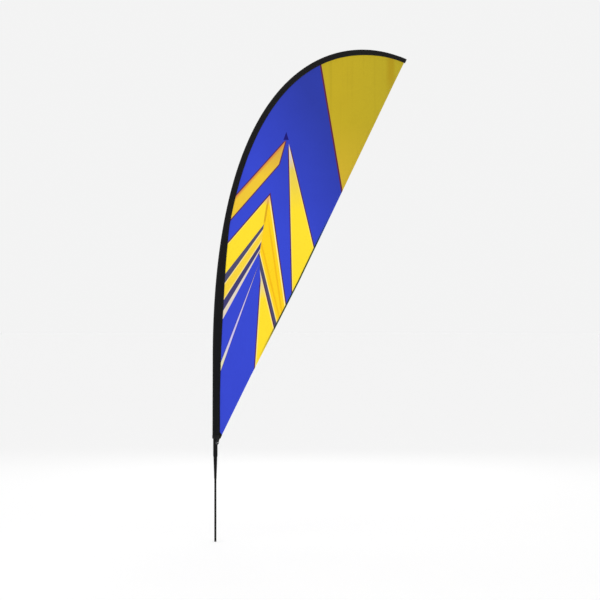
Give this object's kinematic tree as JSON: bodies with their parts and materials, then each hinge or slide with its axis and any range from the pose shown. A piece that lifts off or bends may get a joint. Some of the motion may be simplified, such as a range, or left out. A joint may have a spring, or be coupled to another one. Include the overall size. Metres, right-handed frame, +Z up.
{
  "type": "teardrop flag",
  "caption": "Bowed teardrop flag on a sectional pole that turns on a ground spike, with a black pole sleeve, tension strap and a blue and yellow printed panel.",
  "frame": {"origin": "centre of the blunt flat end of the ground spike, the lowest point of the flag", "axes": "+Z up along the spike and the straight part of the pole, +X from the pole towards the flag's free edge, +Y away from the viewer through the thickness of the flag; the flag lies in the XZ plane"},
  "size_m": [1.0878, 0.0365, 2.7555],
  "materials": {
    "black_steel": "satin black coating, rubbed at the lower end",
    "bright_steel": "nickel plated",
    "bronze": "oiled sintered bronze",
    "black_nylon": "moulded, fine grain",
    "black_rubber": "matt",
    "black_anodised": "black anodised, drawn lines",
    "fibreglass": "black pultruded glass fibre",
    "black_webbing": "woven elastic webbing",
    "black_cloth": "plain woven polyester",
    "printed_cloth": "printed knitted polyester, semi matt"
  },
  "bodies": {
    "spike": {"ground_spike": "black_steel", "thrust_washer": "bronze", "spindle_clip": "bright_steel"},
    "rotor": {"rotor_hub": "black_nylon", "dust_boot": "black_rubber", "lower_bush": "bronze", "upper_bush": "bronze", "lower_o_ring": "black_rubber", "upper_o_ring": "black_rubber"},
    "pole": {"base_tube": "black_anodised", "middle_tube": "fibreglass", "middle_collar": "bright_steel", "upper_tube": "fibreglass", "upper_collar": "bright_steel", "tip_rod": "fibreglass", "tip_collar": "bright_steel", "tip_cap": "black_nylon", "hook_peg": "black_nylon", "hook_washer": "bright_steel", "strap_ring": "bright_steel", "tension_strap": "black_webbing", "sleeve_binding": "black_cloth", "pole_sleeve": "black_cloth", "tip_pocket": "black_cloth", "flag_panel": "printed_cloth", "leech_hem": "printed_cloth", "tack_patch": "black_cloth"}
  },
  "joints": [
    {"name": "rotor_spin", "type": "hinge", "parent": "spike", "child": "rotor", "pos_m": [0, 0, 0.45], "axis": [0, 0, 1], "continuous": true},
    {"name": "pole_lift", "type": "slide", "parent": "rotor", "child": "pole", "axis": [0, 0, 1], "range_m": [0, 0.05]}
  ]
}
